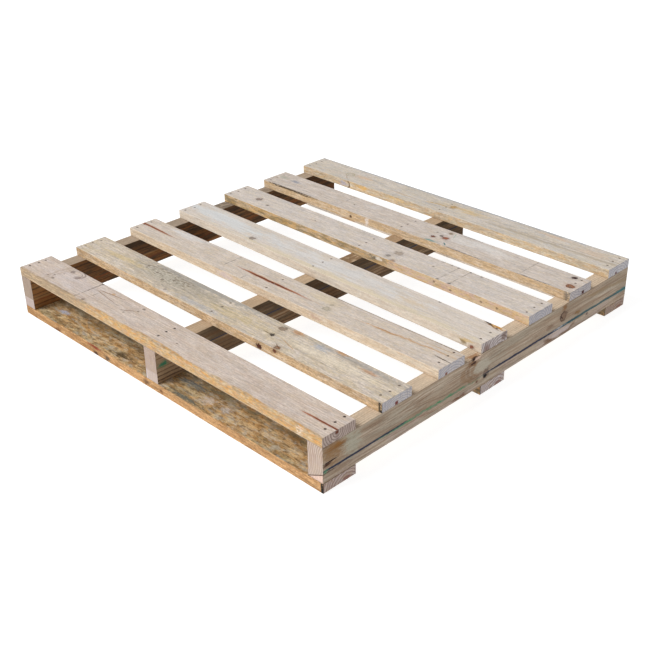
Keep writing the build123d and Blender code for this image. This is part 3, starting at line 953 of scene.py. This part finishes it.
stick, timber = deck_board(5, 25, knots=[(113, 47, 7), (690, 52, 9)])
wood = Pine("pine_deck_5", stick, 25)
top_weather(wood, yellow=0.25, grey=0.25, bleached=0.3, brown=0.15)
wood.knot(113, 47, 7, colour(144, 122, 110), 0.75)
wood.knot(168, 32, 4, colour(146, 130, 120), 0.6)
wood.knot(690, 52, 9, colour(168, 150, 132), 0.65)
wood.knot(678, 21, 5, colour(140, 130, 122), 0.75)
wood.knot(708, 4, 6, colour(160, 128, 104), 0.7)
wood.streak((320, 44), (400, 50), 1.6, colour(170, 134, 112), 0.6)
for u in (845, 868, 908, 945):
    wood.streak((u - 4, 93), (u + 5, 93), 5.0, colour(92, 86, 80), 0.7)
wood.crosscut(868, 0.6)
wood.crosscut(907, 0.65)
wood.crosscut(815, 0.3, side=(40, 100))
for u, v, radius in ((812, 53, 3.5), (868, 4, 4.5), (907, 4, 5), (360, 50, 2.5), (170, 30, 3)):
    wood.speck(u, v, radius, colour(100, 92, 86), 0.7)
edge_weather(wood, gold=0.35, brown=0.35, pale=0.3)
wood.coat(colour(122, 106, 74), 0.7, (44, 30, 7), cover=0.5, face=wood.on_near * wood.u.smooth(640, 540))
wood.patch(660, 13, (50, 11), colour(104, 100, 90), 0.85, on_side=True, pitch=(12, 5, 4), fill=0.5)
wood.coat(colour(220, 174, 106), 0.45, (30, 30, 7), cover=0.4, face=wood.on_near)
wood.coat(colour(216, 192, 156), 0.6, (60, 30, 9), cover=0.55, face=wood.on_near * wood.u.smooth(640, 760))
wood.patch(662, 16, (10, 6), colour(226, 216, 200), 0.9, on_side=True, fill=0.6)
wood.coat(colour(206, 176, 168), 0.6, (30, 30, 7), cover=0.4, face=wood.on_near * wood.u.smooth(640, 760))
for u, w in ((916, 10), (1015, 12), (1066, 12), (860, 16)):
    wood.speck(u, w, 3.5, colour(110, 88, 72), 0.7, on_side=True)
material = wood.finish(
    pale=colour(208, 198, 190), late=colour(180, 162, 150), edge=colour(203, 180, 144),
    end=colour(180, 176, 179),
    end_late=colour(126, 124, 138), pith=(40, -10), ring=7.0, warp=26, end_line=0.58, line=0.3,
)
timber.piece("deck_board_5th", material, "deck_pine")

stick, timber = deck_board(
    6, 26, knots=[(1124, 81, 6.5), (1142, 33, 9), (718, 46, 8)], knocks=[((1, 0, 1), (4, 3, 7))],
)
wood = Pine("pine_deck_6", stick, 26)
top_weather(wood, yellow=0.2, grey=0.25, bleached=0.35, brown=0.25)
wood.patch(820, 66, (130, 22), colour(216, 212, 208), 0.55, pitch=(50, 14, 14), fill=0.6)
wood.patch(90, 56, (19, 8), colour(142, 144, 152), 0.8, fill=0.66)
wood.patch(35, 58, (18, 10), colour(164, 166, 150), 0.6, fill=0.66)
wood.patch(420, 74, (24, 16), colour(206, 200, 196), 0.6, fill=0.6)
wood.streak((20, 30), (230, 40), 1.4, colour(160, 136, 118), 0.6, ragged=1.3)
wood.streak((170, 36), (300, 22), 1.4, colour(160, 136, 118), 0.5, ragged=1.3)
wood.knot(1124, 81, 5.0, colour(64, 34, 28), 1.0)
wood.knot(1142, 33, 8, colour(164, 112, 76), 0.8)
for reach in ((11, 8), (6, 4)):
    wood.arc(1142, 33, reach, colour(120, 74, 50), 0.8, 0.5)
wood.knot(720, 46, 6.5, colour(156, 92, 66), 0.95)
wood.knot(701, 50, 3.6, colour(100, 88, 78), 0.85)
wood.knot(685, 31, 4.5, colour(120, 70, 54), 0.95)
wood.knot(711, 80, 4.5, colour(146, 120, 90), 0.75)
wood.speck(676, 62, 3)
wood.speck(360, 48, 3)
wood.streak((722, 92), (740, 52), 3.0, colour(134, 166, 150), 0.8)
wood.streak((733, 20), (752, 6), 3.4, INK_TEAL, 0.95, ragged=0.8)
wood.patch(697, 5, (20, 5), colour(112, 144, 138), 0.85, fill=0.66)
wood.streak((0, 2), (300, 1), 2.6, colour(48, 38, 30), 1.0, ragged=0.6)
wood.streak((720, 2), (935, 1), 2.6, colour(74, 64, 58), 0.8, ragged=1.0)
wood.streak((985, 2), (1135, 2), 2.6, colour(84, 80, 78), 0.85, ragged=1.0)
wood.streak((730, 95), (830, 95), 2.4, colour(92, 88, 84), 0.8)
wood.crosscut(320, 0.5)
wood.crosscut(1003, 0.6)
edge_weather(wood, gold=0.2, brown=0.35, pale=0.35)
wood.speck(390, 10, 4.5, colour(84, 62, 44), 0.95, on_side=True)
wood.patch(457, 12, (7, 14), colour(222, 208, 196), 0.9, on_side=True, fill=0.66)
wood.streak((0, 23), (290, 22), 2.4, colour(52, 40, 30), 0.9, on_side=True, ragged=0.8)
wood.coat(colour(104, 98, 92), 0.8, (9, 5, 7), cover=0.6, face=wood.on_near * wood.u.smooth(1140, 1156))
wood.end_layers.append((wood.w.within(6, 7) * wood.v.within(60, 8), colour(74, 40, 34)))
material = wood.finish(
    pale=colour(204, 192, 182), late=colour(172, 152, 138), edge=colour(209, 182, 144),
    end=colour(181, 175, 174),
    end_late=colour(124, 118, 126), pith=(60, 70), ring=7.0, warp=30, end_line=0.58, line=0.35,
)
timber.piece("deck_board_6th", material, "deck_pine")

stick, timber = deck_board(7, 27, grime=0.15)
wood = Pine("pine_deck_7", stick, 27)
top_weather(wood, yellow=0.35, grey=0.35, bleached=0.3, brown=0.2)
wood.patch(228, 52, (44, 14), colour(208, 178, 150), 0.75, pitch=(16, 6, 6), fill=0.45)
wood.streak((222, 66), (256, 74), 2.0, colour(190, 148, 108), 0.7)
for reach in ((15, 13), (8, 6)):
    wood.arc(174, 46, reach, colour(168, 156, 126), 0.7, 0.4)
wood.streak((166, 34), (198, 6), 2.0, colour(172, 144, 118), 0.7)
wood.streak((60, 26), (170, 32), 3.0, colour(186, 164, 140), 0.5)
wood.patch(400, 32, (50, 6), colour(188, 164, 138), 0.5, fill=0.5)
wood.patch(940, 80, (70, 8), colour(206, 176, 150), 0.6, pitch=(20, 6, 6), fill=0.5)
wood.knot(592, 57, 7, colour(196, 152, 88), 0.75)
wood.streak((490, 38), (600, 52), 4.0, colour(188, 156, 108), 0.85, ragged=1.2)
wood.patch(650, 60, (90, 18), colour(206, 176, 124), 0.6, pitch=(24, 7, 7), fill=0.5)
wood.streak((700, 36), (1165, 34), 7.0, colour(170, 156, 136), 0.7, open_end=True, ragged=1.2)
wood.streak((800, 44), (1165, 52), 1.6, colour(150, 128, 100), 0.6, open_end=True, ragged=1.2)
wood.patch(600, 98, (700, 6), colour(150, 156, 166), 0.7, pitch=(30, 6, 6), fill=0.6)
wood.patch(1080, 60, (60, 20), colour(206, 178, 150), 0.5, fill=0.5)
wood.crosscut(395, 0.5, side=(0, 40))
edge_weather(wood, gold=0.4, brown=0.3, pale=0.4)
wood.patch(270, 17, (26, 6), colour(214, 168, 94), 0.8, on_side=True, fill=0.56)
wood.patch(420, 18, (50, 6), colour(212, 176, 112), 0.6, on_side=True, fill=0.5)
wood.patch(183, 12, (18, 9), colour(176, 168, 176), 0.85, on_side=True, fill=0.6)
wood.arc(196, 12, (17, 13), colour(96, 70, 50), 0.9, 0.4, part=wood.u.smooth(200, 208), on_side=True)
wood.end_layers.append((wood.w.within(4, 5) * wood.v.within(37, 6), colour(110, 82, 76)))
material = wood.finish(
    pale=colour(204, 197, 187), late=colour(168, 152, 134), edge=colour(201, 186, 160),
    end=colour(189, 186, 188),
    end_late=colour(128, 126, 138), pith=(50, -20), ring=8.0, warp=36, end_line=0.58, line=0.4,
)
timber.piece("deck_board_rear", material, "deck_pine")

# ---- Bottom boards --------------------------------------------------------------------------
# Three boards of the same stock nailed under the bearers.  Their rough upper faces have
# gathered dirt and mould in olive, ochre and blue-grey blotches.


def bottom_board(which, seed):
    """One bottom board's skin, with nail craters in its underside."""
    node = f"bottom_board_{which}"
    stick = Stick(node, ALONG_BOARDS)
    nails = nail_spots(stick, node + "_nails", face_down=True)
    u_spots = [u for u, v in nails]
    v_spots = [v for u, v in nails]
    timber = Timber(stick, seed, pitch=(7.0, 4.0, 5.0), u_spots=u_spots, v_spots=v_spots)
    timber.ease_all(1.3)
    timber.weather(0.5)
    timber.sink_nails(nails, timber.bottom, 1)
    return stick, timber


SAWN_ENDS = {"front": colour(184, 167, 159), "middle": colour(197, 187, 185), "rear": colour(167, 148, 134)}

for (which, end), seed in zip(SAWN_ENDS.items(), (31, 32, 33)):
    stick, timber = bottom_board(which, seed)
    wood = Pine(f"pine_bottom_{which}", stick, seed)
    wood.coat(colour(186, 142, 86), 0.75, (95, 30, 30), cover=0.6, face=wood.on_top)
    wood.coat(colour(136, 122, 90), 0.75, (84, 26, 26), cover=0.44, face=wood.on_top)
    wood.coat(colour(206, 186, 148), 0.5, (42, 16, 16), cover=0.42, face=wood.on_top)
    wood.coat(colour(132, 98, 58), 0.65, (34, 12, 12), cover=0.42, face=wood.on_top)
    wood.coat(colour(94, 76, 54), 0.7, (20, 7, 7), cover=0.3, face=wood.on_top)
    wood.coat(colour(176, 172, 160), 0.5, (30, 13, 13), cover=0.28, face=wood.on_top)
    if which == "front":
        rear_part = wood.on_top * wood.v.smooth(56, 84)
        wood.coat(colour(112, 108, 88), 0.65, (30, 12, 12), cover=0.55, face=rear_part)
        wood.patch(118, 50, (18, 8), colour(168, 172, 188), 0.9, fill=0.62)
        wood.patch(745, 40, (26, 20), colour(186, 172, 158), 0.85, pitch=(10, 5, 5), fill=0.5)
        wood.patch(805, 42, (20, 14), colour(178, 170, 164), 0.75, pitch=(10, 5, 5), fill=0.5)
        wood.patch(690, 8, (50, 9), colour(96, 98, 90), 0.9, pitch=(14, 4, 4), fill=0.55)
        wood.patch(660, 60, (60, 14), colour(98, 104, 104), 0.8, pitch=(16, 4, 4), fill=0.55)
        wood.patch(420, 20, (30, 12), colour(70, 58, 38), 0.85, pitch=(14, 4, 4), fill=0.5)
    wood.coat(colour(220, 178, 128), 0.4, (60, 30, 9), cover=0.42, face=wood.on_edge)
    wood.coat(colour(150, 106, 66), 0.45, (34, 30, 7), cover=0.4, face=wood.on_edge)
    wood.coat(colour(112, 78, 50), 0.4, (10, 30, 3), cover=0.33, face=wood.on_edge)
    if which == "front":
        left_part = wood.on_near * wood.u.smooth(640, 240)
        wood.coat(colour(152, 110, 66), 0.6, (60, 30, 9), cover=0.6, face=left_part)
        wood.patch(152, 4, (18, 8), colour(112, 72, 40), 0.9, on_side=True, fill=0.55)
        wood.patch(330, 21, (30, 4), colour(134, 62, 40), 0.95, on_side=True, fill=0.66)
        wood.patch(334, 4, (12, 6), colour(70, 46, 34), 0.95, on_side=True, fill=0.6)
        wood.patch(384, 11, (13, 12), colour(78, 64, 52), 0.85, on_side=True, pitch=(7, 5, 5), fill=0.48)
        wood.patch(550, 10, (15, 9), colour(102, 72, 48), 0.85, on_side=True, pitch=(7, 5, 5), fill=0.48)
        wood.patch(612, 10, (8, 7), colour(120, 84, 54), 0.85, on_side=True, fill=0.6)
        corner = wood.on_near * wood.u.smooth(1155, 1160)
        wood.coat(colour(26, 25, 24), 1.0, (7, 5, 9), cover=0.85, face=corner)
    else:
        # Painted light: the faces that lie in shade under the deck are coloured pale so that they read
        # light.
        painted_light_under_deck = wood.u.smooth(1112, 1096) * (wood.on_near + wood.on_top * wood.v.smooth(76, 84))
        wood.coat(colour(226, 217, 204), 0.85, (90, 30, 12), cover=0.9, face=painted_light_under_deck)
        by_right_bearer = wood.on_near * wood.u.smooth(1096, 1112)
        wood.coat(colour(104, 96, 78), 0.85, (14, 9, 6), cover=0.75, face=by_right_bearer)
    wood.end_layers.append((wood.v.smooth(4, 0), colour(44, 36, 32)))
    wood.end_layers.append((wood.v.within(70, 16) * wood.w.smooth(16, 4) * 0.7, colour(124, 74, 58)))
    material = wood.finish(
        pale=colour(190, 160, 118), late=colour(140, 108, 70), edge=colour(196, 152, 106), end=end,
        end_late=colour(128, 100, 92), pith=(70, -14), ring=8.0, warp=40, line=0.45, speckle=0.6, rough=1.0,
    )
    timber.piece(f"bottom_board_of_{which}", material, "bottom_pine")

# ---- Nails ----------------------------------------------------------------------------------
# Bright wire nails driven by gun and set just under the surface, since gone dull and brown.


def nail_finish(name, tone):
    """Dull oxidised steel with rusty blotches."""
    material = bpy.data.materials.new(name)
    material.use_nodes = True
    material.node_tree.nodes.clear()
    wire = Wire(material.node_tree)
    place = wire.node("ShaderNodeTexCoord", out="Object").scaled(MM)
    rust = place.cloud((1.8, 1.8, 1.8), seed=3, detail=3).smooth(0.42, 0.62)
    grain = place.cloud((0.5, 0.5, 0.5), seed=4, detail=2)
    steel = wire.node("ShaderNodeRGB")
    steel.socket.default_value = tone
    skin = steel.mixed(colour(96, 70, 52), rust)
    normal = wire.node("ShaderNodeBump", None, {"Height": grain, "Strength": 0.4, "Distance": 0.0002})
    sockets = {"Base Color": skin, "Normal": normal}
    sockets["Metallic"] = 0.7 - rust * 0.6
    sockets["Roughness"] = 0.5 + rust * 0.35
    shader = wire.node("ShaderNodeBsdfPrincipled", None, sockets)
    output = wire.tree.nodes.new("ShaderNodeOutputMaterial")
    wire.tree.links.new(shader.socket, output.inputs["Surface"])
    return material


dark_steel = nail_finish("dark_nail_steel", colour(70, 64, 60))
grey_steel = nail_finish("grey_nail_steel", colour(142, 132, 122))
for name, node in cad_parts.items():
    if name.endswith("_nails"):
        node.data.materials.clear()
        node.data.materials.append(dark_steel if name == "deck_board_1_nails" else grey_steel)

# ---- Floor, light and camera ----------------------------------------------------------------
# A plain pale floor under soft studio light, seen from the front right corner.

FLOOR_SIDE = 60.0
floor_mesh = bpy.data.meshes.new("floor")
half = FLOOR_SIDE / 2
corners = [(-half, -half, 0), (half, -half, 0), (half, half, 0), (-half, half, 0)]
floor_mesh.from_pydata(corners, [], [(0, 1, 2, 3)])
floor = bpy.data.objects.new("floor", floor_mesh)
floor.location = (0, 0, -0.0005)
bpy.context.scene.collection.objects.link(floor)
paper = bpy.data.materials.new("pale_floor")
paper.use_nodes = True
paper_shader = paper.node_tree.nodes["Principled BSDF"]
paper_shader.inputs["Base Color"].default_value = (0.35, 0.35, 0.35, 1)
paper_shader.inputs["Roughness"].default_value = 0.9
paper_shader.inputs["Emission Color"].default_value = (1, 1, 1, 1)
paper_shader.inputs["Emission Strength"].default_value = 0.85
floor_mesh.materials.append(paper)

world = bpy.data.worlds.new("studio")
bpy.context.scene.world = world
world.use_nodes = True
world.node_tree.nodes["Background"].inputs["Color"].default_value = (0.97, 0.98, 1.0, 1)
world.node_tree.nodes["Background"].inputs["Strength"].default_value = 0.4
bpy.context.scene.view_settings.view_transform = "Standard"

lamp = bpy.data.lights.new("key", "SUN")
lamp.energy = 2.65
lamp.angle = math.radians(28)
key = bpy.data.objects.new("key", lamp)
KEY_FROM = Vector((-0.25, -0.42, 0.55))
key.location = KEY_FROM * 4
key.rotation_euler = (-KEY_FROM).to_track_quat("-Z", "Y").to_euler()
bpy.context.scene.collection.objects.link(key)

CAMERA_PLACE = (1.8422, -1.7970, 1.3673)
CAMERA_HEADING = math.radians(45.705)    # turned left of straight ahead
CAMERA_TILT = math.radians(61.12)        # up from straight down
CAMERA_ROLL = math.radians(-1.10)
LENS = 58.345                            # on a sensor 36 wide

lens = bpy.data.cameras.new("camera")
lens.sensor_width = 36
lens.lens = LENS
camera = bpy.data.objects.new("camera", lens)
bpy.context.scene.collection.objects.link(camera)
turn = Matrix.Rotation(CAMERA_HEADING, 4, "Z") @ Matrix.Rotation(CAMERA_TILT, 4, "X")
camera.matrix_world = Matrix.Translation(CAMERA_PLACE) @ turn @ Matrix.Rotation(CAMERA_ROLL, 4, "Z")
bpy.context.scene.camera = camera
